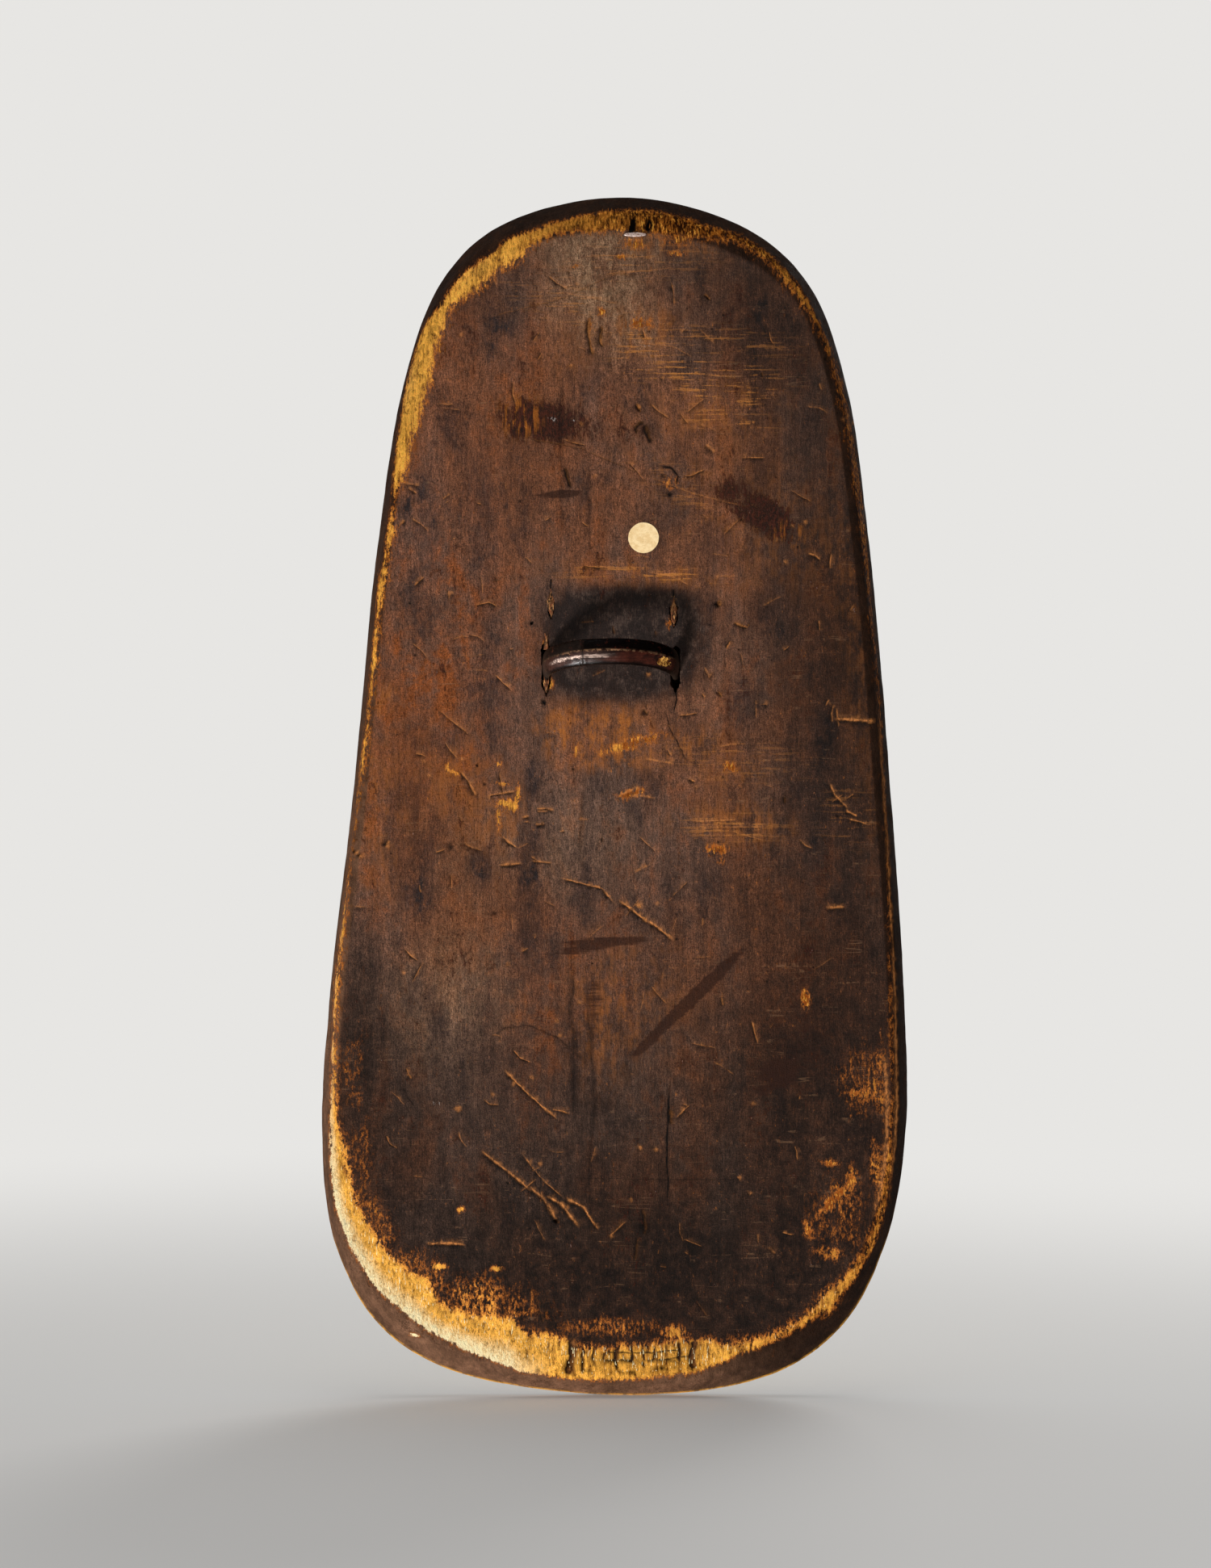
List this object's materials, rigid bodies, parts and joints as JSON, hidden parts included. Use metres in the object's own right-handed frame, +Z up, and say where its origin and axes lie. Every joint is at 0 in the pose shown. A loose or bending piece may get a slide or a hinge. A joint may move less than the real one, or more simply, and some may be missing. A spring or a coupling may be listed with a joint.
{
  "type": "painted wooden shield",
  "caption": "Tall carved wooden shield, broad at the foot, with a flat back, flared edge, gently swelling painted front and a bent cane hand grip.",
  "frame": {"origin": "middle of the cane grip, where a hand closes round the strap", "axes": "+Z up along the shield's height with the broad end down; -Y out of the flat back towards the person who holds it; +Y out of the painted front; +X to the right seen from the handle side"},
  "size_m": [0.365, 0.0637, 0.747],
  "materials": {
    "carved_wood": "hand-rubbed dark stain with a worn pale edge; painted on the front",
    "polished_cane": "glossy from handling",
    "split_fibre": "raw broken fibres",
    "grey_metal": "dull, hammered flat",
    "label_paper": "matt uncoated paper"
  },
  "bodies": {
    "root": {"shield_board": "carved_wood", "cane_handle": "polished_cane", "packing_sliver_upper": "split_fibre", "packing_sliver_lower": "split_fibre", "old_strap_stub_left": "split_fibre", "old_strap_stub_right": "split_fibre", "hanging_staple": "grey_metal", "paper_dot": "label_paper"}
  },
  "joints": []
}
